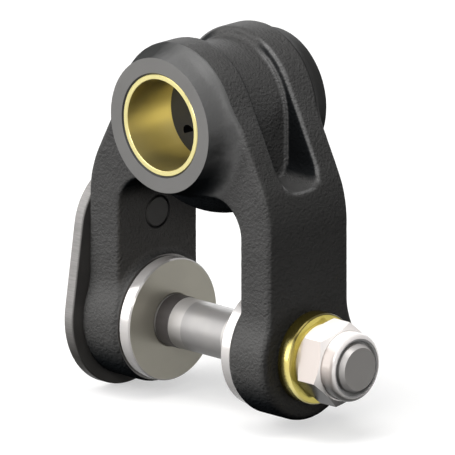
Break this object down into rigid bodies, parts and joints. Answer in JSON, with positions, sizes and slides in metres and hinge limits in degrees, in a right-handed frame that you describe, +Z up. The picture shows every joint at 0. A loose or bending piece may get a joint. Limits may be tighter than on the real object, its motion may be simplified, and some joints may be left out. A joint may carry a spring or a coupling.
{
  "type": "tension rod clevis",
  "caption": "Cast fork clevis with a bronze-bushed cross hub above, and a locked clevis pin with thrust discs, washer and lock nut between its two arms.",
  "frame": {"origin": "centre of the hub bore, midway between its two machined faces", "axes": "+Y along the hub bore; X along the clevis pin, with the nut on +X and the lock plate on -X; +Z up from the pin to the hub"},
  "size_m": [0.1669, 0.08, 0.1864],
  "materials": {
    "casting": "sand-cast skin, charcoal coat",
    "bronze": "turned bearing bronze",
    "ground_steel": "ground and polished",
    "seal_rubber": "smooth black rubber",
    "weld_metal": "ring weld bead",
    "plate_steel": "flame-cut edge, plain faces",
    "dowel_steel": "blackened",
    "disc_steel": "turned bright",
    "yellow_plating": "yellow passivated zinc",
    "bright_plating": "bright zinc",
    "nylon": "grey locking ring",
    "nipple_steel": "zinc plated"
  },
  "bodies": {
    "clevis": {"clevis_body": "casting", "front_bush": "bronze", "rear_bush": "bronze", "clevis_pin": "ground_steel", "left_seal_ring": "seal_rubber", "right_seal_ring": "seal_rubber", "pin_weld": "weld_metal", "lock_plate": "plate_steel", "lock_dowel": "dowel_steel", "nut_washer": "yellow_plating", "lock_nut": "bright_plating", "nut_insert": "nylon", "grease_nipple": "nipple_steel"},
    "left_disc": {"left_thrust_disc": "disc_steel"},
    "right_disc": {"right_thrust_disc": "disc_steel"}
  },
  "joints": [
    {"name": "left_disc_spin", "type": "hinge", "parent": "clevis", "child": "left_disc", "pos_m": [-0.0344, 0, -0.1104], "axis": [1, 0, 0], "continuous": true},
    {"name": "right_disc_spin", "type": "hinge", "parent": "clevis", "child": "right_disc", "pos_m": [0.0344, 0, -0.1104], "axis": [1, 0, 0], "continuous": true}
  ]
}
